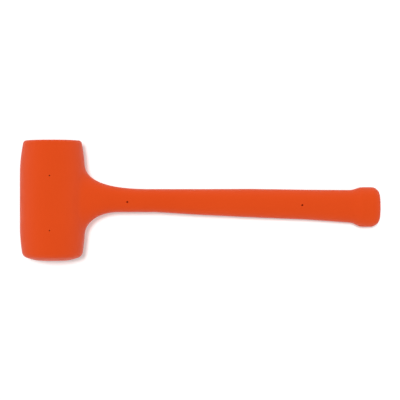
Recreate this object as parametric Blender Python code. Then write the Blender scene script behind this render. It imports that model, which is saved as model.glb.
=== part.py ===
"""A one-piece dead blow mallet: urethane cast over a steel canister of loose shot and a steel handle rod.

Lengths are metres. The tool's own frame has its origin in the middle of the head, +X along the handle
towards the butt, +Y along the head towards its front face, and +Z through the handle's thinner side.
An empty, tool_frame, lays that frame on the bench, where the mallet rests on its head and its butt knob.
"""

from math import asin, atan2, cos, pi, radians, sin, sqrt

import bmesh
import bpy
from mathutils import Matrix, Vector

GAP = 0.0003  # left between pieces that touch
OVERRUN = 0.002  # how far a cutter runs past what it cuts

# Head: a barrel, turned about Y.
HEAD_LENGTH = 0.1205
HEAD_RADIUS = 0.0324
BARREL_BAND = 0.048  # length of the cylindrical middle of the barrel
BARREL_ARC = 0.170  # radius of the curve of its flanks
FRONT_LAND, FRONT_CROWN, FRONT_EDGE = 0.020, 0.060, 0.0022  # flat's radius, crown's arc, edge's arc
BACK_LAND, BACK_CROWN, BACK_EDGE = 0.008, 0.050, 0.0028

# Handle: oval sections along X. Each station is (x, upper half width, lower half width, half depth).
NECK = (0.1020, 0.0113, 0.0115, 0.0112)
THROAT = (0.1500, 0.0113, 0.0144, 0.0121)
GRIP = (0.2005, 0.0115, 0.0168, 0.0128)
PALM = (0.2560, 0.0107, 0.0191, 0.0130)
GRIP_END = (0.2995, 0.0104, 0.0222, 0.0131)
KNOB = (0.3105, 0.0133, 0.0264, 0.0164)
KNOB_WIDEST_UNTIL = 0.3222
BUTT = 0.3295
BUTT_EDGE = (0.0070, 0.0090, 0.0066)  # how far the butt's rounding comes in: upper side, lower side, depth
BUTT_DOME = 0.0020  # how far the butt's end bulges
BUTT_FLAT = 0.36  # share of the butt's end that is flat
OVAL_POWER = 2.35  # 2 is an ellipse, more is squarer

# Flares of the neck into the head: (where it ends, how much it adds to the half size, power of its curve).
UPPER_FLARE = (0.1020, 0.0270, 2.6)
LOWER_FLARE = (0.0665, 0.0235, 2.1)
DEPTH_FLARE = (0.0850, 0.0095, 2.2)
FLARE_ROOT = HEAD_RADIUS + 0.0002
FLARE_BURIED = 0.0225  # how far from the head's axis the flare's hidden end stays

# Shot: layers of one ball in the middle and a ring round it.
BALL_DIAMETER = 0.009525
RING_BALLS = 6
LAYERS = 7
SHOT_TRAVEL = 0.009  # each way from the middle of the canister

# Canister.
SHOT_PITCH = BALL_DIAMETER + GAP
SHOT_LENGTH = LAYERS * BALL_DIAMETER + (LAYERS - 1) * GAP
CHAMBER_LENGTH = SHOT_LENGTH + 2 * (SHOT_TRAVEL + GAP)
CHAMBER_RADIUS = SHOT_PITCH + BALL_DIAMETER / 2 + GAP
CANISTER_WALL = 0.0032
CANISTER_RADIUS = CHAMBER_RADIUS + CANISTER_WALL
CAP_THICKNESS = 0.005
CAP_LEDGE = 0.0012  # how far the counterbore widens the tube for a cap
CANISTER_LENGTH = CHAMBER_LENGTH + 2 * (CAP_THICKNESS + GAP)

# Handle rod, its socket and the cross pin. The rod droops a little, as the grip does.
ROD_DROOP = radians(1.03)
ROD_START_Y = -0.0002
ROD_RADIUS = 0.005
ROD_FROM, ROD_TO = CANISTER_RADIUS + 0.0008, 0.302
SOCKET_RADIUS = 0.0100
SOCKET_FROM, SOCKET_TO = CANISTER_RADIUS - 0.004, 0.0400  # the near end is cut to a saddle
PIN_RADIUS = 0.0020
PIN_X = 0.0305
CHAMFER = 0.0006

# Holes left in the urethane by the tapered pins that held the core in the mould.
HEAD_PINS = ((-0.0019, 0.0244), (-0.0019, -0.0296))  # (x, y) of each in the head
ROD_PINS = (0.0747, 0.2496)  # x of each on the rod
HEAD_PIN_MOUTH, ROD_PIN_MOUTH = 0.00060, 0.00095  # radius at the skin
PIN_TIP = 0.0003  # radius at the core

# Numbers of sides of the round pieces.
HEAD_SIDES = 48
OVAL_SIDES = 32
CORE_SIDES = 36
ROD_SIDES = 20
PIN_SIDES = 12
CREASE_ANGLE = radians(32)  # sharper edges are shaded as creases

# Numbers of steps along the curves of the head's profile and between the handle's sections.
FLANK_STEPS, EDGE_STEPS, CROWN_STEPS = 4, 5, 3
FLARE_STEPS, GRIP_STEPS, SWELL_STEPS, BUTT_STEPS = 12, 10, 5, 6
FLARE_CROWDING = 1.9  # power that crowds the flare's sections towards the barrel, where it curves most
DOME_SHARES = (0.82, 0.6)  # sizes of the sections over the butt's dome, as shares of its edge

ACROSS = Matrix.Rotation(pi / 2, 4, "Z")  # turns a piece made along X so that it lies along Y
UPRIGHT = Matrix.Rotation(-pi / 2, 4, "Y")  # turns a piece made along X so that it lies along Z


def clear_scene():
    for old in list(bpy.data.objects):
        bpy.data.objects.remove(old, do_unlink=True)


# Materials


def material(name, color, metallic, roughness):
    made = bpy.data.materials.new(name)
    made.use_nodes = True
    shader = made.node_tree.nodes["Principled BSDF"]
    shader.inputs["Base Color"].default_value = (*color, 1.0)
    shader.inputs["Metallic"].default_value = metallic
    shader.inputs["Roughness"].default_value = roughness
    return made


# Helpers


def empty(name, location, parent=None):
    made = bpy.data.objects.new(name, None)
    made.location = location
    made.parent = parent
    bpy.context.scene.collection.objects.link(made)
    return made


def piece(name, mesh, surface, parent, location=(0, 0, 0)):
    """One sub-part: an object with its own material, shaded smooth except at sharp edges."""
    made = bpy.data.objects.new(name, mesh)
    made.location = location
    made.parent = parent
    if not mesh.materials:
        mesh.materials.append(surface)
        mesh.shade_smooth()
        mesh.set_sharp_from_angle(angle=CREASE_ANGLE)
    bpy.context.scene.collection.objects.link(made)
    return made


def boolean(target, operation, helper):
    """Joins or cuts the target with a helper, which stays in the file as a wire and isn't a piece."""
    modifier = target.modifiers.new(helper.name, "BOOLEAN")
    modifier.operation = operation
    modifier.solver = "EXACT"
    modifier.object = helper
    helper.hide_render = True
    helper.display_type = "WIRE"


def lofted(name, rings, turn=None, tube=False):
    """A mesh through rings of equally many points: capped at both ends, or a tube closed on itself."""
    shape = bmesh.new()
    loops = [[shape.verts.new(point) for point in ring] for ring in rings]
    follows = loops[1:] + loops[:1] if tube else loops[1:]
    for first, second in zip(loops, follows):
        count = len(first)
        for i in range(count):
            j = (i + 1) % count
            shape.faces.new((first[i], first[j], second[j], second[i]))
    if not tube:
        shape.faces.new(reversed(loops[0]))
        shape.faces.new(loops[-1])
    if turn:
        shape.transform(turn)
    bmesh.ops.recalc_face_normals(shape, faces=shape.faces)
    mesh = bpy.data.meshes.new(name)
    shape.to_mesh(mesh)
    shape.free()
    return mesh


def circle(along, radius, sides):
    """A ring of points about X."""
    angles = [2 * pi * (i + 0.5) / sides for i in range(sides)]
    return [Vector((along, radius * cos(a), radius * sin(a))) for a in angles]


def turned(name, profile, sides, turn=None, tube=False):
    """A piece turned about X from its profile of (distance along the axis, radius)."""
    return lofted(name, [circle(x, r, sides) for x, r in profile], turn, tube)


def rod_profile(start, end, radius, chamfer):
    return [
        (start, radius - chamfer),
        (start + chamfer, radius),
        (end - chamfer, radius),
        (end, radius - chamfer),
    ]


def room_for(name, start, end, radius, turn=None):
    """Cutter for the room that a round piece needs, a gap larger all round."""
    profile = [(start - GAP, radius + GAP), (end + GAP, radius + GAP)]
    return turned(name, profile, CORE_SIDES, turn)


def arc(centre, radius, start, end, steps):
    """Points on an arc in a profile, with angles measured from its axis."""
    angles = [start + (end - start) * i / steps for i in range(steps + 1)]
    return [(centre[0] + radius * cos(a), centre[1] + radius * sin(a)) for a in angles]


# Urethane body


def flank_radius(y):
    """The barrel's radius at a distance from its middle."""
    past = max(0.0, abs(y) - BARREL_BAND / 2)
    return HEAD_RADIUS - BARREL_ARC + sqrt(BARREL_ARC**2 - past**2)


def head_end(land, crown, edge):
    """The profile from the flank, round the edge and over the crowned face to its flat land."""
    half = HEAD_LENGTH / 2
    crown_x = half - crown
    corner_r = flank_radius(half) - edge
    corner_x = crown_x + sqrt((crown - edge) ** 2 - (corner_r - land) ** 2)
    meets = atan2(corner_r - land, corner_x - crown_x)
    leaves = pi / 2 - atan2(half - BARREL_BAND / 2, BARREL_ARC)
    around = arc((corner_x, corner_r), edge, leaves, meets, EDGE_STEPS)
    over = arc((crown_x, land), crown, meets, 0, CROWN_STEPS)
    return around + over[1:]


def head_mesh():
    """The barrel, from its back face to its front face."""
    front = head_end(FRONT_LAND, FRONT_CROWN, FRONT_EDGE)
    back = [(-x, r) for x, r in reversed(head_end(BACK_LAND, BACK_CROWN, BACK_EDGE))]
    band = BARREL_BAND / 2
    reach = front[0][0] - band
    flank = [(x, flank_radius(x)) for x in (band + reach * i / FLANK_STEPS for i in range(FLANK_STEPS))]
    profile = back + [(-x, r) for x, r in reversed(flank)] + flank + front
    return turned("urethane_body", profile, HEAD_SIDES, ACROSS)


def ease(share):
    """From 0 to 1 as share does, level at both ends."""
    return share * share * (3 - 2 * share)


def flare(x, reach, size, power):
    """What a flare adds at x: its whole size at the barrel's side, falling along a rounded curve to 0."""
    share = min(1.0, max(0.0, (reach - x) / (reach - FLARE_ROOT)))
    return size * (1 - (1 - share**power) ** (1 / power))


def handle_size(x):
    """Upper half width, lower half width and half depth of the handle at x."""
    stations = (NECK, THROAT, GRIP, PALM, GRIP_END)
    size = list(NECK[1:])
    for before, after in zip(stations, stations[1:]):
        share = min(1.0, max(0.0, (x - before[0]) / (after[0] - before[0])))
        size = [s + share * (b - a) for s, a, b in zip(size, before[1:], after[1:])]
    share = ease(min(1.0, max(0.0, (x - GRIP_END[0]) / (KNOB[0] - GRIP_END[0]))))
    size = [s + share * (b - a) for s, a, b in zip(size, GRIP_END[1:], KNOB[1:])]
    flares = (UPPER_FLARE, LOWER_FLARE, DEPTH_FLARE)
    return [s + flare(x, *f) for s, f in zip(size, flares)]


def oval(x, upper, lower, depth):
    """One section of the handle, with its middle between its upper and lower edges."""
    middle, width = (upper - lower) / 2, (upper + lower) / 2
    ring = []
    for i in range(OVAL_SIDES):
        angle = 2 * pi * i / OVAL_SIDES
        c, s = cos(angle), sin(angle)
        reach = (abs(c) ** OVAL_POWER + abs(s) ** OVAL_POWER) ** (-1 / OVAL_POWER)
        ring.append(Vector((x, middle + width * reach * c, depth * reach * s)))
    return ring


def lean_on_barrel(point):
    """Moves a point of a flare towards the barrel, so that its root follows the barrel's round side."""
    sag = HEAD_RADIUS - sqrt(flank_radius(point.y) ** 2 - point.z**2)
    return point - Vector((sag * flare(point.x, DEPTH_FLARE[0], 1.0, DEPTH_FLARE[2]), 0, 0))


def butt_sections():
    """The rounded end of the knob: its sections shrink along an arc, then over a slight dome."""
    knob = handle_size(KNOB_WIDEST_UNTIL)
    corner = BUTT - BUTT_DOME - KNOB_WIDEST_UNTIL
    sections = []
    for i in range(1, BUTT_STEPS + 1):
        angle = pi / 2 * i / BUTT_STEPS
        x = KNOB_WIDEST_UNTIL + corner * sin(angle)
        sections.append(oval(x, *(size - edge * (1 - cos(angle)) for size, edge in zip(knob, BUTT_EDGE))))
    upper, lower, depth = (size - edge for size, edge in zip(knob, BUTT_EDGE))
    middle, width = (upper - lower) / 2, (upper + lower) / 2
    for share in (*DOME_SHARES, BUTT_FLAT):
        x = BUTT - BUTT_DOME * share**2
        sections.append(oval(x, width * share + middle, width * share - middle, depth * share))
    return sections


def handle_mesh():
    """The handle from its hidden end inside the head to the butt."""
    flare_length = NECK[0] - FLARE_ROOT
    grip_length = GRIP_END[0] - NECK[0]
    swell_length = KNOB[0] - GRIP_END[0]
    flare_shares = [(i / FLARE_STEPS) ** FLARE_CROWDING for i in range(FLARE_STEPS + 1)]
    flare_x = [FLARE_ROOT + flare_length * share for share in flare_shares]
    grip_x = [NECK[0] + grip_length * i / GRIP_STEPS for i in range(1, GRIP_STEPS + 1)]
    knob_x = [GRIP_END[0] + swell_length * i / SWELL_STEPS for i in range(1, SWELL_STEPS + 1)]
    root = oval(FLARE_BURIED, *handle_size(FLARE_ROOT))
    flared = [[lean_on_barrel(point) for point in oval(x, *handle_size(x))] for x in flare_x]
    plain = [oval(x, *handle_size(x)) for x in grip_x + knob_x + [KNOB_WIDEST_UNTIL]]
    return lofted("handle_shape", [root] + flared + plain + butt_sections())


def pin_hole(core, skin, mouth):
    """Cutter for two pins' holes, which taper from the skin on both sides to the core between them."""
    end = skin + OVERRUN
    wide = PIN_TIP + (mouth - PIN_TIP) * (end - core) / (skin - core)
    profile = [(-end, wide), (-core, PIN_TIP), (core, PIN_TIP), (end, wide)]
    return turned("core_pin_space", profile, PIN_SIDES, UPRIGHT)


def make_body(tool, rod, urethane):
    """Head and handle in one casting, hollowed out for the core and drilled by the core pins."""
    body = piece("urethane_body", head_mesh(), urethane, tool)
    boolean(body, "UNION", piece("handle_shape", handle_mesh(), urethane, tool))

    half = CANISTER_LENGTH / 2
    canister_space = room_for("canister_space", -half, half, CANISTER_RADIUS, ACROSS)
    boolean(body, "DIFFERENCE", piece("canister_space", canister_space, urethane, tool))
    socket_space = room_for("socket_space", SOCKET_FROM, SOCKET_TO, SOCKET_RADIUS)
    boolean(body, "DIFFERENCE", piece("socket_space", socket_space, urethane, rod))
    rod_space = room_for("rod_space", SOCKET_TO - OVERRUN, ROD_TO, ROD_RADIUS)
    boolean(body, "DIFFERENCE", piece("rod_space", rod_space, urethane, rod))

    for number, place in enumerate(HEAD_PINS, 1):
        hole = pin_hole(CANISTER_RADIUS, HEAD_RADIUS, HEAD_PIN_MOUTH)
        boolean(body, "DIFFERENCE", piece(f"head_pin_space_{number}", hole, urethane, tool, (*place, 0)))
    for number, x in enumerate(ROD_PINS, 1):
        hole = pin_hole(ROD_RADIUS, handle_size(x)[2], ROD_PIN_MOUTH)
        boolean(body, "DIFFERENCE", piece(f"rod_pin_space_{number}", hole, urethane, rod, (x, 0, 0)))


# Steel core


def make_canister(tool, steel):
    """The tube that holds the shot, and the discs that close it."""
    half, shoulder = CANISTER_LENGTH / 2, CHAMBER_LENGTH / 2
    counterbore = CHAMBER_RADIUS + CAP_LEDGE
    profile = [
        (-half, counterbore),
        (-half, CANISTER_RADIUS - CHAMFER),
        (-half + CHAMFER, CANISTER_RADIUS),
        (half - CHAMFER, CANISTER_RADIUS),
        (half, CANISTER_RADIUS - CHAMFER),
        (half, counterbore),
        (shoulder, counterbore),
        (shoulder, CHAMBER_RADIUS),
        (-shoulder, CHAMBER_RADIUS),
        (-shoulder, counterbore),
    ]
    piece("canister_tube", turned("canister_tube", profile, CORE_SIDES, ACROSS, tube=True), steel, tool)
    profile = rod_profile(0, CAP_THICKNESS, counterbore - GAP, CHAMFER)
    cap = turned("canister_cap", profile, CORE_SIDES, ACROSS)
    piece("canister_cap_front", cap, steel, tool, (0, shoulder + GAP, 0))
    piece("canister_cap_back", cap, steel, tool, (0, -shoulder - GAP - CAP_THICKNESS, 0))


def make_rod(tool, rod, steel, rod_steel):
    """The handle rod, the socket that holds it on the canister's side, and the pin through both."""
    profile = [
        (SOCKET_FROM, ROD_RADIUS + GAP),
        (SOCKET_FROM, SOCKET_RADIUS),
        (SOCKET_TO - CHAMFER, SOCKET_RADIUS),
        (SOCKET_TO, SOCKET_RADIUS - CHAMFER),
        (SOCKET_TO, ROD_RADIUS + GAP),
    ]
    socket = piece("rod_socket", turned("rod_socket", profile, CORE_SIDES, tube=True), steel, rod)
    half = CANISTER_LENGTH / 2
    saddle = room_for("saddle_cutter", -half, half, CANISTER_RADIUS, ACROSS)
    boolean(socket, "DIFFERENCE", piece("saddle_cutter", saddle, steel, tool))
    bar = turned("handle_rod", rod_profile(ROD_FROM, ROD_TO, ROD_RADIUS, CHAMFER), ROD_SIDES)
    handle_rod = piece("handle_rod", bar, rod_steel, rod)

    reach = SOCKET_RADIUS + OVERRUN
    profile = [(-reach, PIN_RADIUS + GAP), (reach, PIN_RADIUS + GAP)]
    drill = turned("pin_drill", profile, PIN_SIDES, UPRIGHT)
    drilled = piece("pin_drill", drill, steel, rod, (PIN_X, 0, 0))
    boolean(socket, "DIFFERENCE", drilled)
    boolean(handle_rod, "DIFFERENCE", drilled)
    half_pin = sqrt(SOCKET_RADIUS**2 - PIN_RADIUS**2) - GAP
    profile = rod_profile(-half_pin, half_pin, PIN_RADIUS, CHAMFER / 2)
    pin = turned("socket_pin", profile, PIN_SIDES, UPRIGHT)
    piece("socket_pin", pin, rod_steel, rod, (PIN_X, 0, 0))


# Shot


def make_shot(tool, shot_steel):
    """Loose balls in layers along the canister, under an empty on the axis that they slide along."""
    shot = empty("shot_frame", (0, 0, 0), tool)
    shape = bmesh.new()
    bmesh.ops.create_icosphere(shape, subdivisions=2, radius=BALL_DIAMETER / 2)
    ball = bpy.data.meshes.new("shot_ball")
    shape.to_mesh(ball)
    shape.free()
    places = []
    for layer in range(LAYERS):
        along = (layer - (LAYERS - 1) / 2) * SHOT_PITCH
        places.append((0, along, 0))
        for i in range(RING_BALLS):
            angle = 2 * pi * i / RING_BALLS
            places.append((SHOT_PITCH * cos(angle), along, SHOT_PITCH * sin(angle)))
    for number, place in enumerate(places, 1):
        piece(f"shot_ball_{number:02d}", ball, shot_steel, shot, place)


def lay_down(tool):
    """Lays the tool on its head and its knob, with the middle of its length over the origin."""
    tilt = asin((HEAD_RADIUS - KNOB[3]) / KNOB_WIDEST_UNTIL)
    front = -HEAD_RADIUS
    back = BUTT * cos(tilt)
    tool.rotation_euler = (0, tilt, 0)
    tool.location = (-(front + back) / 2, 0, HEAD_RADIUS)


def main():
    clear_scene()
    urethane = material("orange_urethane", (0.75, 0.075, 0.012), 0.0, 0.42)
    steel = material("canister_steel", (0.52, 0.52, 0.53), 1.0, 0.38)
    rod_steel = material("rod_steel", (0.11, 0.11, 0.12), 1.0, 0.45)
    shot_steel = material("shot_steel", (0.66, 0.66, 0.68), 1.0, 0.15)

    tool = empty("tool_frame", (0, 0, 0))
    lay_down(tool)
    rod = empty("rod_frame", (0, ROD_START_Y, 0), tool)
    rod.rotation_euler = (0, 0, -ROD_DROOP)

    make_body(tool, rod, urethane)
    make_canister(tool, steel)
    make_rod(tool, rod, steel, rod_steel)
    make_shot(tool, shot_steel)


main()
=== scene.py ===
"""The look of a one-piece dead blow mallet: its cast skin, the steel core inside, light and camera.

Lengths are metres. As in the CAD, the tool's own frame has its origin in the middle of the head, +X
along the handle towards the butt, +Y along the head towards its front face, and +Z through the handle's
thinner side. The skin is the zero surface of a distance field, which is negative inside the urethane.
"""

from math import asin, cos, pi, radians, sin, sqrt

import bmesh
import bpy
import numpy as np
import openvdb
from mathutils import Matrix, Vector, noise


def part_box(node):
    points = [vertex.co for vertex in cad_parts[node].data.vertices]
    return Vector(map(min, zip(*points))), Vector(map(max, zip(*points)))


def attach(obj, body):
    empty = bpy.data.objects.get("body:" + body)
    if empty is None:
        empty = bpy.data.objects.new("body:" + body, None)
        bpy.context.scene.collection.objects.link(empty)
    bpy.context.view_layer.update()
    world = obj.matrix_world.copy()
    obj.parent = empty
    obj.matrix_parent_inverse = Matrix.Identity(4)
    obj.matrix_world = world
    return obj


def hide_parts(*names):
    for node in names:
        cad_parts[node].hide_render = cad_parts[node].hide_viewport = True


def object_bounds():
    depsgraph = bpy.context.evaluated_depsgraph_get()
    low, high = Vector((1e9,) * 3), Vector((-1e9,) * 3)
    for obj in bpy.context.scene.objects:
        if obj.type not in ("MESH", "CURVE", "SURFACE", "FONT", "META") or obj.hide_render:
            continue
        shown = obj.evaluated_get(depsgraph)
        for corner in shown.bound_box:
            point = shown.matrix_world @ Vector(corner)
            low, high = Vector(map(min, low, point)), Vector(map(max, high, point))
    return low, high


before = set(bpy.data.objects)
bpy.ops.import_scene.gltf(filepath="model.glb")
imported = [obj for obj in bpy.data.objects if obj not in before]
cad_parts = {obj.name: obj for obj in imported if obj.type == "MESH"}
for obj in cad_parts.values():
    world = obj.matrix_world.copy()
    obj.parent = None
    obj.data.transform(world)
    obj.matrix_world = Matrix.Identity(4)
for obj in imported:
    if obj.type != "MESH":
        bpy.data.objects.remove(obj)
cad_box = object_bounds()

# Dimensions of the CAD model

GAP = 0.0003  # left between pieces that touch
OVERRUN = 0.002  # how far a cutter runs past what it cuts

HEAD_LENGTH = 0.1205
HEAD_RADIUS = 0.0324
BARREL_BAND = 0.048  # length of the cylindrical middle of the barrel
BARREL_ARC = 0.170  # radius of the curve of its flanks
FRONT_END = (0.020, 0.060, 0.0022)  # radius of the flat, then of the crown's arc and of the edge's arc
BACK_END = (0.008, 0.050, 0.0028)

# Oval sections of the handle: (x, upper half width, lower half width, half depth).
NECK = (0.1020, 0.0113, 0.0115, 0.0112)
THROAT = (0.1500, 0.0113, 0.0144, 0.0121)
GRIP = (0.2005, 0.0115, 0.0168, 0.0128)
PALM = (0.2560, 0.0107, 0.0191, 0.0130)
GRIP_END = (0.2995, 0.0104, 0.0222, 0.0131)
KNOB = (0.3105, 0.0133, 0.0264, 0.0164)
KNOB_WIDEST_UNTIL = 0.3222
BUTT = 0.3295
BUTT_EDGE = (0.0066, 0.0078)  # radius of the butt's rounding at its upper and at its lower side
BUTT_DOME = 0.0020
BUTT_FLAT = 0.36  # share of the butt's end that is flat
OVAL_POWER = 2.35

# Flares of the neck into the head: (where it ends, how much it adds to a half size, its curve's power).
UPPER_FLARE = (0.1020, 0.0270, 2.6)
LOWER_FLARE = (0.0665, 0.0235, 2.1)
DEPTH_FLARE = (0.0850, 0.0095, 2.2)

BALL_DIAMETER = 0.009525
RING_BALLS = 6
LAYERS = 7
SHOT_TRAVEL = 0.009
SHOT_PITCH = BALL_DIAMETER + GAP
SHOT_LENGTH = LAYERS * BALL_DIAMETER + (LAYERS - 1) * GAP
CHAMBER_LENGTH = SHOT_LENGTH + 2 * (SHOT_TRAVEL + GAP)
CHAMBER_RADIUS = SHOT_PITCH + BALL_DIAMETER / 2 + GAP
CANISTER_RADIUS = CHAMBER_RADIUS + 0.0032
CAP_THICKNESS = 0.005
CAP_LEDGE = 0.0012
CANISTER_LENGTH = CHAMBER_LENGTH + 2 * (CAP_THICKNESS + GAP)

ROD_DROOP = radians(1.03)
ROD_START_Y = -0.0002
ROD_RADIUS = 0.005
ROD_FROM, ROD_TO = CANISTER_RADIUS + 0.0008, 0.302
SOCKET_RADIUS = 0.0100
SOCKET_FROM, SOCKET_TO = CANISTER_RADIUS - 0.004, 0.0400
PIN_RADIUS = 0.0020
PIN_X = 0.0305
HEAD_PINS = ((-0.0019, 0.0244), (-0.0019, -0.0296))
ROD_PINS = (0.0747, 0.2496)
HEAD_PIN_MOUTH, ROD_PIN_MOUTH = 0.00060, 0.00095
PIN_TIP = 0.0003

# Finish of the skin

FILLET = 0.0016  # of the corner between barrel and flares
SEAM_HEIGHT = 0.00018  # the mould's parting line, a fine ridge round the mallet
SEAM_WIDTH = 0.00035
SEAM_FOOT = 1.4 * SEAM_WIDTH  # from the ridge's middle to where a seventh of its height is left
HOLE_LIP = 0.0002  # rounding of the edge of a core pin's hole
LIP_STEPS = 4

# How the skin is worked out

SKIN_STEP = 0.0009  # spacing of its points
SLOPE_STEP = 0.00001  # half the distance over which the field's slope is taken
HEIGHT_STEP = 0.00002  # precision of its height at a pin hole
ARC_USED = 0.5  # share of an arc's radius up to which the arc is followed to either side
HANDLE_START = 0.010  # the handle's hidden end, inside the barrel
TABLE_STEP = 0.0005  # spacing of the table of the handle's sizes
TABLE_MARGIN = 0.02  # how far the table runs past the butt
TABLE_BLUR = 21  # number of its steps over which a corner between sections is rounded
TINY = 1e-9  # keeps the slope from 0 on the handle's axis

# Finish of the steel pieces

CHAMFER = 0.0006
DRILL_RADIUS, DRILL_TIP, DRILL_DEPTH = 0.0016, 0.0004, 0.0012  # centre drill mark in a canister disc
DENT_DEPTH = 0.012  # of the balls' flats, as a share of a ball's radius
DENTS_PER_METRE = 500
DENT_STRIDE = (1.7, 0.9, 2.3)  # in the noise, from one ball's dents to the next ball's

CORE_SIDES = 96  # number of sides of the canister and the socket
ROD_SIDES = 64
PIN_SIDES = 40
CREASE_ANGLE = radians(35)  # sharper edges are shaded as creases

# Colours, each as the two that its material varies between

ORANGE = ((0.760, 0.077, 0.0125), (0.742, 0.073, 0.0115))
TURNED_STEEL = ((0.55, 0.55, 0.56), (0.46, 0.46, 0.47))
ROLLED_STEEL = ((0.12, 0.12, 0.13), (0.09, 0.085, 0.085))
BALL_STEEL = ((0.68, 0.68, 0.70), (0.55, 0.55, 0.56))
WHITE = (1, 1, 1, 1)

# Studio: white light all round from low down, and a soft lamp high above that gives a short shadow

FLOOR_SIZE = 6.0
FLOOR_SHADE = 0.70
FLOOR_MOTTLE = 0.01
FLOOR_GLOW = 0.38
SKY_LIGHT = 1.30  # at the horizon
SKY_FADE = 2  # power of its fading towards the zenith
LAMP_LIGHT = 2.50
LAMP_LEAN = (-0.05, 0.095)  # how far left and how far towards the head's front, per metre of height
LAMP_SPREAD = radians(8)
CAMERA_HEIGHT = 1.79  # above the head's middle
VIEW_MIDDLE = Vector((0.14755, 0.0005, 0))  # from the head's middle
VIEW_WIDTH = 0.400  # what the picture spans at the height of the head's middle
VIEW_DEPTH = 20
SENSOR = 36.0

# Places: the canister is in the middle of the head, and the mallet lies on its head and its knob

tube_low, tube_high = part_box("canister_tube")
head_middle = (Vector(tube_low) + Vector(tube_high)) / 2
resting_tilt = asin((HEAD_RADIUS - KNOB[3]) / KNOB_WIDEST_UNTIL)
TOOL = Matrix.Translation(head_middle) @ Matrix.Rotation(resting_tilt, 4, "Y")
ROD = TOOL @ Matrix.Translation((0, ROD_START_Y, 0)) @ Matrix.Rotation(-ROD_DROOP, 4, "Z")
CROSS_PIN = ROD @ Matrix.Translation((PIN_X, 0, 0))
ACROSS = Matrix.Rotation(pi / 2, 4, "Z")  # turns a piece made along X so that it lies along Y
UPRIGHT = Matrix.Rotation(-pi / 2, 4, "Y")  # turns a piece made along X so that it lies along Z


# Fields


def rounded_corner(first, second, radius):
    """The overlap of two fields, with its edge rounded."""
    first, second = first + radius, second + radius
    outside = np.hypot(np.maximum(first, 0), np.maximum(second, 0))
    return outside + np.minimum(np.maximum(first, second), 0) - radius


def joined(first, second, reach):
    """The union of two fields, with a fillet in its corner."""
    share = np.clip(0.5 + 0.5 * (second - first) / reach, 0, 1)
    return second + (first - second) * share - reach * share * (1 - share)


def flank_radius(y):
    """The barrel's radius at a distance from its middle."""
    past = np.clip(np.abs(y) - BARREL_BAND / 2, 0, BARREL_ARC * ARC_USED)
    return HEAD_RADIUS - BARREL_ARC + np.sqrt(BARREL_ARC**2 - past**2)


def head_field(x, y, z):
    """The barrel, with its crowned faces."""
    land, crown, edge = (np.where(y > 0, front, back) for front, back in zip(FRONT_END, BACK_END))
    from_axis = np.hypot(x, z)
    past_land = np.clip(from_axis - land, 0, crown * ARC_USED)
    face = HEAD_LENGTH / 2 - crown + np.sqrt(crown**2 - past_land**2)
    return rounded_corner(from_axis - flank_radius(y), np.abs(y) - face, edge)


def plain_handle():
    """Places along the handle, and its three half sizes there (upper, lower and depth), unflared."""
    x = np.arange(0, BUTT + TABLE_MARGIN, TABLE_STEP)
    share = np.clip((x - GRIP_END[0]) / (KNOB[0] - GRIP_END[0]), 0, 1)
    swell = share * share * (3 - 2 * share)
    stations = np.array([NECK, THROAT, GRIP, PALM, GRIP_END])
    blur = np.hanning(TABLE_BLUR)
    sizes = []
    for side in (1, 2, 3):
        size = np.interp(x, stations[:, 0], stations[:, side]) + swell * (KNOB[side] - GRIP_END[side])
        padded = np.pad(size, len(blur) // 2, mode="edge")
        sizes.append(np.convolve(padded, blur / blur.sum(), mode="valid"))
    return x, sizes


ALONG, HALF_SIZES = plain_handle()


def flare(x, root, reach, size, power):
    """What a flare adds at x: its whole size at the barrel's side, and less along a curve to 0."""
    share = np.clip((reach - x) / (reach - root), 0, 1)
    return size * (1 - (1 - share**power) ** (1 / power))


def handle_field(x, y, z):
    """The handle, whose flares start all round from the barrel's side."""
    barrel_side = np.sqrt(np.maximum(flank_radius(y) ** 2 - z**2, HANDLE_START**2))
    flares = (UPPER_FLARE, LOWER_FLARE, DEPTH_FLARE)
    upper, lower, depth = (
        np.interp(x, ALONG, sizes) + flare(x, barrel_side, *flared)
        for sizes, flared in zip(HALF_SIZES, flares)
    )
    middle, width = (upper - lower) / 2, (upper + lower) / 2
    across, through = np.abs(y - middle) / width, np.abs(z) / depth + TINY
    oval = (across**OVAL_POWER + through**OVAL_POWER) ** (1 / OVAL_POWER)
    slope = np.hypot(across ** (OVAL_POWER - 1) / width, through ** (OVAL_POWER - 1) / depth)
    side = (oval - 1) * oval ** (OVAL_POWER - 1) / slope
    height = np.clip(0.5 + (y - middle) / width / 2, 0, 1)
    edge = BUTT_EDGE[1] + height * (BUTT_EDGE[0] - BUTT_EDGE[1])
    butt = x - BUTT + BUTT_DOME * np.clip(oval, BUTT_FLAT, 1) ** 2
    return np.maximum(rounded_corner(side, butt, edge), HANDLE_START - x)


def body_field(points):
    """Head and handle in one casting, with the mould's parting line."""
    x, y, z = np.moveaxis(points, -1, 0)
    whole = joined(head_field(x, y, z), handle_field(x, y, z), FILLET)
    return whole - SEAM_HEIGHT * np.exp(-((z / SEAM_WIDTH) ** 2))


def onto_surface(points, rounds=2):
    """Moves points along the field's slope until they are on the surface."""
    for _ in range(rounds):
        ahead = np.stack([body_field(points + SLOPE_STEP * axis) for axis in np.eye(3)], axis=-1)
        behind = np.stack([body_field(points - SLOPE_STEP * axis) for axis in np.eye(3)], axis=-1)
        slope = (ahead - behind) / (2 * SLOPE_STEP)
        points = points - (body_field(points) / (slope**2).sum(axis=1))[:, None] * slope
    return points


# Mesh helpers


def new_mesh(name, points, faces):
    """A mesh from its points and faces."""
    mesh = bpy.data.meshes.new(name)
    mesh.from_pydata(points, [], faces)
    return mesh


def mesh_points(mesh):
    """The mesh's points as rows of x, y and z."""
    flat = np.empty(3 * len(mesh.vertices), dtype=np.float32)
    mesh.vertices.foreach_get("co", flat)
    return flat.reshape(-1, 3).astype(float)


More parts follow.
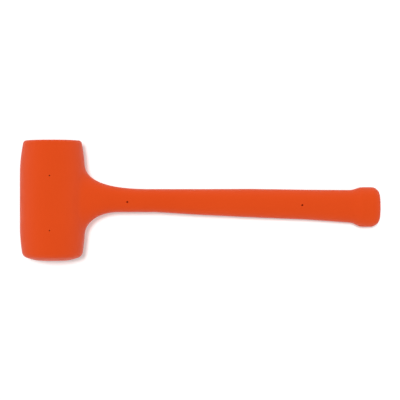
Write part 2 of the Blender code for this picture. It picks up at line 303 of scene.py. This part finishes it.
def lofted(name, rings, turn=None, tube=False):
    """A mesh through rings of equally many points: capped at both ends, or a tube closed on itself."""
    shape = bmesh.new()
    loops = [[shape.verts.new(point) for point in ring] for ring in rings]
    follows = loops[1:] + loops[:1] if tube else loops[1:]
    for first, second in zip(loops, follows):
        count = len(first)
        for i in range(count):
            j = (i + 1) % count
            shape.faces.new((first[i], first[j], second[j], second[i]))
    if not tube:
        shape.faces.new(reversed(loops[0]))
        shape.faces.new(loops[-1])
    if turn:
        shape.transform(turn)
    bmesh.ops.recalc_face_normals(shape, faces=shape.faces)
    mesh = bpy.data.meshes.new(name)
    shape.to_mesh(mesh)
    shape.free()
    return mesh


def turned(name, profile, sides, turn=None, tube=False):
    """A piece turned about X from its profile of (distance along the axis, radius)."""
    angles = [2 * pi * (i + 0.5) / sides for i in range(sides)]
    rings = [[(x, r * cos(a), r * sin(a)) for a in angles] for x, r in profile]
    return lofted(name, rings, turn, tube)


def rod_profile(start, end, radius, edge, steps=4):
    """A rod's profile with rounded edges."""
    angles = [pi / 2 * i / steps for i in range(steps + 1)]
    rise = [(edge - edge * cos(a), radius - edge + edge * sin(a)) for a in angles]
    return [(start + x, r) for x, r in rise] + [(end - x, r) for x, r in reversed(rise)]


def placed(name, mesh, place):
    """A new object. Its mesh is moved to its place, and the object stays at the row frame's origin."""
    mesh.transform(place)
    made = bpy.data.objects.new(name, mesh)
    bpy.context.scene.collection.objects.link(made)
    return made


def room_for(name, start, end, radius, place, turn=None):
    """Cutter for the room that a round piece needs, a gap larger all round."""
    profile = [(start - GAP, radius + GAP), (end + GAP, radius + GAP)]
    return placed(name, turned(name, profile, CORE_SIDES, turn), place)


def canister_room(name):
    """Cutter for the room that the canister needs."""
    half = CANISTER_LENGTH / 2
    return room_for(name, -half, half, CANISTER_RADIUS, TOOL, ACROSS)


def cut(target, cutters):
    """Takes the cutters' shapes out of the target, and removes the cutters."""
    for cutter in cutters:
        modifier = target.modifiers.new(cutter.name, "BOOLEAN")
        modifier.operation = "DIFFERENCE"
        modifier.solver = "MANIFOLD"
        modifier.object = cutter
    evaluated = target.evaluated_get(bpy.context.evaluated_depsgraph_get())
    mesh = bpy.data.meshes.new_from_object(evaluated)
    target.modifiers.clear()
    target.data = mesh
    for cutter in cutters:
        bpy.data.objects.remove(cutter, do_unlink=True)


def finish_piece(made, look, body, node):
    """Gives a piece its material and its body, and lets it stand for a CAD node."""
    made.data.materials.clear()
    made.data.materials.append(look)
    made.data.shade_smooth()
    made.data.set_sharp_from_angle(angle=CREASE_ANGLE)
    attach(made, body)
    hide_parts(node)


# Urethane skin


def skin_grid():
    """The field's zero surface as points and quads about SKIN_STEP apart."""
    low = np.array([-HEAD_RADIUS, -HEAD_LENGTH / 2, -HEAD_RADIUS]) - 2 * SKIN_STEP
    high = np.array([BUTT, HEAD_LENGTH / 2, HEAD_RADIUS]) + 2 * SKIN_STEP
    axes = [np.arange(a, b, SKIN_STEP) for a, b in zip(low, high)]
    values = body_field(np.stack(np.meshgrid(*axes, indexing="ij"), axis=-1))
    grid = openvdb.FloatGrid(1.0)
    grid.copyFromArray(values.astype(np.float32))
    grid.transform = openvdb.createLinearTransform(voxelSize=SKIN_STEP)
    points, quads = grid.convertToQuads(isovalue=0.0)
    return points.astype(float) + low, quads.astype(int)


def relaxed(points, quads, rounds=8):
    """Evens out the quads: points go towards their neighbours' middle and back onto the surface."""
    neighbours = np.roll(quads, 1, axis=1)
    here = np.concatenate([quads.ravel(), neighbours.ravel()])
    there = np.concatenate([neighbours.ravel(), quads.ravel()])
    count = np.bincount(here)
    for _ in range(rounds):
        middles = [np.bincount(here, points[there, axis]) / count for axis in range(3)]
        points = onto_surface((points + np.stack(middles, axis=1)) / 2, 1)
    return points


def add_seam_loops(mesh):
    """Cuts the faces along the parting line, to carry its ridge."""
    shape = bmesh.new()
    shape.from_mesh(mesh)
    for height in (-SEAM_FOOT, 0, SEAM_FOOT):
        faces = []
        for face in shape.faces:
            nearest = min(abs(corner.co.z - height) for corner in face.verts)
            if nearest < 2 * SKIN_STEP:
                faces.append(face)
        edges = {edge for face in faces for edge in face.edges}
        corners = {corner for face in faces for corner in face.verts}
        bmesh.ops.bisect_plane(
            shape,
            geom=[*corners, *edges, *faces],
            dist=SEAM_WIDTH / 3,
            plane_co=(0, 0, height),
            plane_no=(0, 0, 1),
            use_snap_center=True,
        )
    shape.to_mesh(mesh)
    shape.free()
    mesh.vertices.foreach_set("co", onto_surface(mesh_points(mesh), 3).astype(np.float32).ravel())
    mesh.update()


def surface_height(x, y):
    """How high above the parting plane the skin is, at a point of it."""
    heights = np.arange(0, HEAD_RADIUS + GAP, HEIGHT_STEP)
    column = np.stack(np.broadcast_arrays(x, y, heights), axis=-1)
    return float(heights[np.argmax(body_field(column) > 0)])


def core_pin_hole(name, place, core, mouth):
    """Cutter for the holes of two pins, which taper from both sides to the core and have a round lip."""
    middle = TOOL.inverted() @ place.translation
    top = surface_height(middle.x, middle.y)
    half = [(core, PIN_TIP)]
    for i in range(LIP_STEPS + 1):
        angle = pi / 2 * i / LIP_STEPS
        half.append((top - HOLE_LIP * (1 - sin(angle)), mouth + HOLE_LIP * (1 - cos(angle))))
    half.append((top + OVERRUN, mouth + HOLE_LIP))
    profile = [(-x, r) for x, r in reversed(half)] + half
    return placed(name, turned(name, profile, PIN_SIDES, UPRIGHT), place)


def core_space():
    """Cutters for the room of the steel core and for the holes of the pins that held it in the mould."""
    cutters = [
        canister_room("canister_room"),
        room_for("socket_room", SOCKET_FROM, SOCKET_TO, SOCKET_RADIUS, ROD),
        room_for("rod_room", SOCKET_TO - OVERRUN, ROD_TO, ROD_RADIUS, ROD),
    ]
    for number, place in enumerate(HEAD_PINS, 1):
        there = TOOL @ Matrix.Translation((*place, 0))
        cutters.append(core_pin_hole(f"head_pin_hole_{number}", there, CANISTER_RADIUS, HEAD_PIN_MOUTH))
    for number, x in enumerate(ROD_PINS, 1):
        there = ROD @ Matrix.Translation((x, 0, 0))
        cutters.append(core_pin_hole(f"rod_pin_hole_{number}", there, ROD_RADIUS, ROD_PIN_MOUTH))
    return cutters


def make_skin(look):
    """The urethane. Its parting line is trimmed flush where it would stand out of the CAD's box."""
    points, quads = skin_grid()
    mesh = new_mesh("urethane_skin", relaxed(points, quads), quads)
    add_seam_loops(mesh)
    skin = placed("urethane_skin", mesh, TOOL)
    cut(skin, core_space())
    trimmed = np.clip(mesh_points(skin.data), *cad_box)
    skin.data.vertices.foreach_set("co", trimmed.astype(np.float32).ravel())
    finish_piece(skin, look, "mallet", "urethane_body")


# Steel core


def make_canister(look):
    """The tube that holds the shot, and the discs that close it."""
    half, shoulder = CANISTER_LENGTH / 2, CHAMBER_LENGTH / 2
    counterbore = CHAMBER_RADIUS + CAP_LEDGE
    outside = rod_profile(-half, half, CANISTER_RADIUS, CHAMFER)
    inside = [
        (half, counterbore + GAP),
        (half - GAP, counterbore),
        (shoulder, counterbore),
        (shoulder, CHAMBER_RADIUS + GAP),
        (shoulder - GAP, CHAMBER_RADIUS),
    ]
    profile = outside + inside + [(-x, r) for x, r in reversed(inside)]
    shell = turned("canister_shell", profile, CORE_SIDES, ACROSS, tube=True)
    tube = placed("canister_shell", shell, TOOL)
    finish_piece(tube, look, "mallet", "canister_tube")

    centre_drill = [(CAP_THICKNESS, DRILL_RADIUS), (CAP_THICKNESS - DRILL_DEPTH, DRILL_TIP)]
    cap_profile = rod_profile(0, CAP_THICKNESS, counterbore - GAP, CHAMFER) + centre_drill
    for name, node, turn in (
        ("canister_disc_front", "canister_cap_front", ACROSS),
        ("canister_disc_back", "canister_cap_back", ACROSS.inverted()),
    ):
        place = TOOL @ turn @ Matrix.Translation((shoulder + GAP, 0, 0))
        cap = placed(name, turned(name, cap_profile, CORE_SIDES), place)
        finish_piece(cap, look, "mallet", node)


def pin_drill(name):
    """Cutter for the cross pin's hole."""
    reach = SOCKET_RADIUS + OVERRUN
    return room_for(name, -reach, reach, PIN_RADIUS, CROSS_PIN, UPRIGHT)


def make_socket(look):
    """The collar that holds the rod, cut to a saddle where it sits on the canister's side."""
    bore = ROD_RADIUS + GAP
    profile = [
        (SOCKET_FROM, bore),
        *rod_profile(SOCKET_FROM, SOCKET_TO, SOCKET_RADIUS, CHAMFER),
        (SOCKET_TO, bore + GAP),
        (SOCKET_TO - GAP, bore),
    ]
    socket = placed("rod_collar", turned("rod_collar", profile, CORE_SIDES, tube=True), ROD)
    cut(socket, [canister_room("saddle"), pin_drill("socket_drill")])
    finish_piece(socket, look, "mallet", "rod_socket")


def make_rod(look):
    """The bar down the middle of the handle."""
    profile = rod_profile(ROD_FROM, ROD_TO, ROD_RADIUS, CHAMFER)
    bar = placed("handle_bar", turned("handle_bar", profile, ROD_SIDES), ROD)
    cut(bar, [pin_drill("bar_drill")])
    finish_piece(bar, look, "mallet", "handle_rod")


def make_cross_pin(look):
    """The pin through socket and bar. Its ends stay below the socket's round side."""
    half = sqrt(SOCKET_RADIUS**2 - PIN_RADIUS**2) - GAP
    profile = rod_profile(-half, half, PIN_RADIUS, CHAMFER)
    pin = placed("cross_pin", turned("cross_pin", profile, PIN_SIDES, UPRIGHT), CROSS_PIN)
    finish_piece(pin, look, "mallet", "socket_pin")


# Shot


def ball_mesh(name, number):
    """A cast steel ball, with the shallow flats that balls beat into each other."""
    shape = bmesh.new()
    bmesh.ops.create_icosphere(shape, subdivisions=4, radius=BALL_DIAMETER / 2)
    offset = Vector([number * stride for stride in DENT_STRIDE])
    for corner in shape.verts:
        dent = max(0.0, noise.noise(corner.co * DENTS_PER_METRE + offset))
        corner.co *= 1 - DENT_DEPTH * dent
    mesh = bpy.data.meshes.new(name)
    shape.to_mesh(mesh)
    shape.free()
    return mesh


def make_shot(look):
    """Layers of one ball in the middle and a ring round it."""
    places = []
    for layer in range(LAYERS):
        along = (layer - (LAYERS - 1) / 2) * SHOT_PITCH
        places.append((0, along, 0))
        for i in range(RING_BALLS):
            angle = 2 * pi * i / RING_BALLS
            places.append((SHOT_PITCH * cos(angle), along, SHOT_PITCH * sin(angle)))
    for number, place in enumerate(places, 1):
        name = f"steel_ball_{number:02d}"
        ball = placed(name, ball_mesh(name, number), TOOL @ Matrix.Translation(place))
        finish_piece(ball, look, "shot", f"shot_ball_{number:02d}")


# Material helpers

MIX_FIRST, MIX_SECOND, MIX_RESULT = 6, 7, 2  # a Mix node's colour sockets, which share names with others


def add(tree, kind, settings=None, **inputs):
    """Adds a node. Each input is a number, a colour or another node's output."""
    made = tree.nodes.new(kind)
    for name, value in (settings or {}).items():
        setattr(made, name, value)
    for name, value in inputs.items():
        socket = made.inputs[name.replace("_", " ")]
        if isinstance(value, bpy.types.NodeSocket):
            tree.links.new(value, socket)
        else:
            socket.default_value = value
    return made


def feed(tree, shader, **sources):
    """Links outputs to the shader's inputs."""
    for name, source in sources.items():
        tree.links.new(source, shader.inputs[name.replace("_", " ")])


def blank_material(name, **constants):
    """A material with its constants on the shader, and the object's own coordinates."""
    made = bpy.data.materials.new(name)
    made.use_nodes = True
    tree = made.node_tree
    shader = tree.nodes["Principled BSDF"]
    for socket, value in constants.items():
        shader.inputs[socket.replace("_", " ")].default_value = value
    place = add(tree, "ShaderNodeTexCoord").outputs["Object"]
    return made, tree, shader, place


def grain(tree, place, size, detail=2.0):
    """Noise whose features are about that size, in metres along the tool's X, Y and Z."""
    size = size if isinstance(size, tuple) else (size, size, size)
    in_tool = {"Location": head_middle, "Rotation": (0, resting_tilt, 0), "Scale": size}
    mapping = add(tree, "ShaderNodeMapping", {"vector_type": "TEXTURE"}, Vector=place, **in_tool)
    mapped = mapping.outputs["Vector"]
    return add(tree, "ShaderNodeTexNoise", Vector=mapped, Scale=1, Detail=detail).outputs["Fac"]


def ranged(tree, value, low, high):
    """Spreads a noise, which stays mostly between 0.3 and 0.7, over low to high."""
    spread = {"From Min": 0.3, "From Max": 0.7, "To Min": low, "To Max": high}
    node = add(tree, "ShaderNodeMapRange", Value=value)
    for name, number in spread.items():
        node.inputs[name].default_value = number
    return node.outputs["Result"]


def mixed(tree, share, first, second):
    """A colour between two others."""
    node = add(tree, "ShaderNodeMix", {"data_type": "RGBA"}, Factor=share)
    node.inputs[MIX_FIRST].default_value = (*first, 1)
    node.inputs[MIX_SECOND].default_value = (*second, 1)
    return node.outputs[MIX_RESULT]


def bumped(tree, height, depth, normal=None):
    """A bump of that depth in metres."""
    node = add(tree, "ShaderNodeBump", Height=height, Distance=depth, Strength=1.0)
    if normal:
        tree.links.new(normal, node.inputs["Normal"])
    return node.outputs["Normal"]


def math_node(tree, operation, first, second):
    """Arithmetic on a node's output and a number."""
    node = add(tree, "ShaderNodeMath", {"operation": operation})
    tree.links.new(first, node.inputs[0])
    node.inputs[1].default_value = second
    return node.outputs["Value"]


# Materials


def urethane_look():
    """Cast urethane: an even orange, hardly mottled, with a satin skin from the mould's fine blasting."""
    made, tree, shader, place = blank_material("orange_urethane_cast", Specular_IOR_Level=0.08, IOR=1.5)
    cloud = ranged(tree, grain(tree, place, size=0.07, detail=3), 0, 1)
    sheen = ranged(tree, grain(tree, place, size=0.011, detail=4), 0.40, 0.50)
    waves = bumped(tree, grain(tree, place, size=0.022, detail=1), depth=0.00012)
    blasted = bumped(tree, grain(tree, place, size=0.0006, detail=3), depth=0.00003, normal=waves)
    feed(tree, shader, Base_Color=mixed(tree, cloud, *ORANGE), Roughness=sheen, Normal=blasted)
    return made


def turned_steel_look():
    """Steel off the lathe: rings round the axis, and a trace of oil that varies its colour."""
    made, tree, shader, place = blank_material("turned_steel", Metallic=1.0)
    stain = ranged(tree, grain(tree, place, size=0.008, detail=4), 0, 1)
    rings = grain(tree, place, size=(0.017, 0.00025, 0.017))
    feed(tree, shader, Base_Color=mixed(tree, stain, *TURNED_STEEL))
    feed(tree, shader, Roughness=ranged(tree, rings, 0.30, 0.46), Normal=bumped(tree, rings, 0.00002))
    return made


def rolled_steel_look():
    """Hot rolled bar: dark scale with fine lines along it."""
    made, tree, shader, place = blank_material("rolled_steel", Metallic=1.0)
    stain = ranged(tree, grain(tree, place, size=0.014, detail=4), 0, 1)
    lines = grain(tree, place, size=(0.025, 0.0003, 0.0003))
    feed(tree, shader, Base_Color=mixed(tree, stain, *ROLLED_STEEL))
    feed(tree, shader, Roughness=ranged(tree, lines, 0.38, 0.55), Normal=bumped(tree, lines, 0.00002))
    return made


def shot_look():
    """Ball steel that its neighbours have scuffed."""
    made, tree, shader, place = blank_material("shot_steel_balls", Metallic=1.0)
    scuff = ranged(tree, grain(tree, place, size=0.0017, detail=5), 0, 1)
    gloss = ranged(tree, grain(tree, place, size=0.0007, detail=3), 0.12, 0.26)
    feed(tree, shader, Base_Color=mixed(tree, scuff, *BALL_STEEL))
    feed(tree, shader, Roughness=gloss, Normal=bumped(tree, scuff, 0.00003))
    return made


def floor_look():
    """A lit white sweep: pale paint that glows a little, with a faint grain."""
    made, tree, shader, place = blank_material(
        "white_sweep",
        Roughness=0.9,
        Specular_IOR_Level=0,
        Emission_Color=WHITE,
        Emission_Strength=FLOOR_GLOW,
    )
    tone = ranged(tree, grain(tree, place, size=0.12), 0, 1)
    shades = [(FLOOR_SHADE + change,) * 3 for change in (FLOOR_MOTTLE, -FLOOR_MOTTLE)]
    feed(tree, shader, Base_Color=mixed(tree, tone, *shades))
    return made


# Studio


def make_floor():
    """The sweep that the mallet lies on."""
    half = FLOOR_SIZE / 2
    corners = [(-half, -half, 0), (half, -half, 0), (half, half, 0), (-half, half, 0)]
    floor = placed("floor", new_mesh("floor", corners, [(0, 1, 2, 3)]), Matrix())
    floor.data.materials.append(floor_look())


def make_sky():
    """White light all round, bright at the horizon and fading to nothing overhead."""
    world = bpy.data.worlds.new("studio")
    world.use_nodes = True
    tree = world.node_tree
    background = tree.nodes["Background"]
    direction = add(tree, "ShaderNodeTexCoord").outputs["Generated"]
    height = add(tree, "ShaderNodeSeparateXYZ", Vector=direction).outputs["Z"]
    fade = add(tree, "ShaderNodeMapRange", Value=height)
    fade.inputs["To Min"].default_value = 1
    fade.inputs["To Max"].default_value = 0
    curve = math_node(tree, "POWER", fade.outputs["Result"], SKY_FADE)
    feed(tree, background, Strength=math_node(tree, "MULTIPLY", curve, SKY_LIGHT))
    background.inputs["Color"].default_value = WHITE
    bpy.context.scene.world = world


def make_lamp():
    """A soft lamp high above, a little left and towards the head's front, that gives no highlights."""
    lamp = bpy.data.lights.new("soft_lamp", "SUN")
    lamp.energy = LAMP_LIGHT
    lamp.angle = LAMP_SPREAD
    holder = bpy.data.objects.new("soft_lamp", lamp)
    holder.location = (*LAMP_LEAN, 1)
    holder.rotation_euler = holder.location.to_track_quat("Z", "Y").to_euler()
    holder.visible_glossy = False
    bpy.context.scene.collection.objects.link(holder)


def make_camera():
    """Straight above the mallet, with the head's front towards the top of the picture."""
    camera = bpy.data.cameras.new("camera")
    camera.sensor_width = SENSOR
    camera.lens = SENSOR * CAMERA_HEIGHT / VIEW_WIDTH
    camera.clip_end = VIEW_DEPTH
    holder = bpy.data.objects.new("camera", camera)
    holder.location = head_middle + VIEW_MIDDLE + Vector((0, 0, CAMERA_HEIGHT))
    bpy.context.scene.collection.objects.link(holder)
    bpy.context.scene.camera = holder
    bpy.context.scene.view_settings.view_transform = "Standard"


make_skin(urethane_look())
turned_steel = turned_steel_look()
rolled_steel = rolled_steel_look()
make_canister(turned_steel)
make_socket(turned_steel)
make_rod(rolled_steel)
make_cross_pin(rolled_steel)
make_shot(shot_look())
make_floor()
make_sky()
make_lamp()
make_camera()
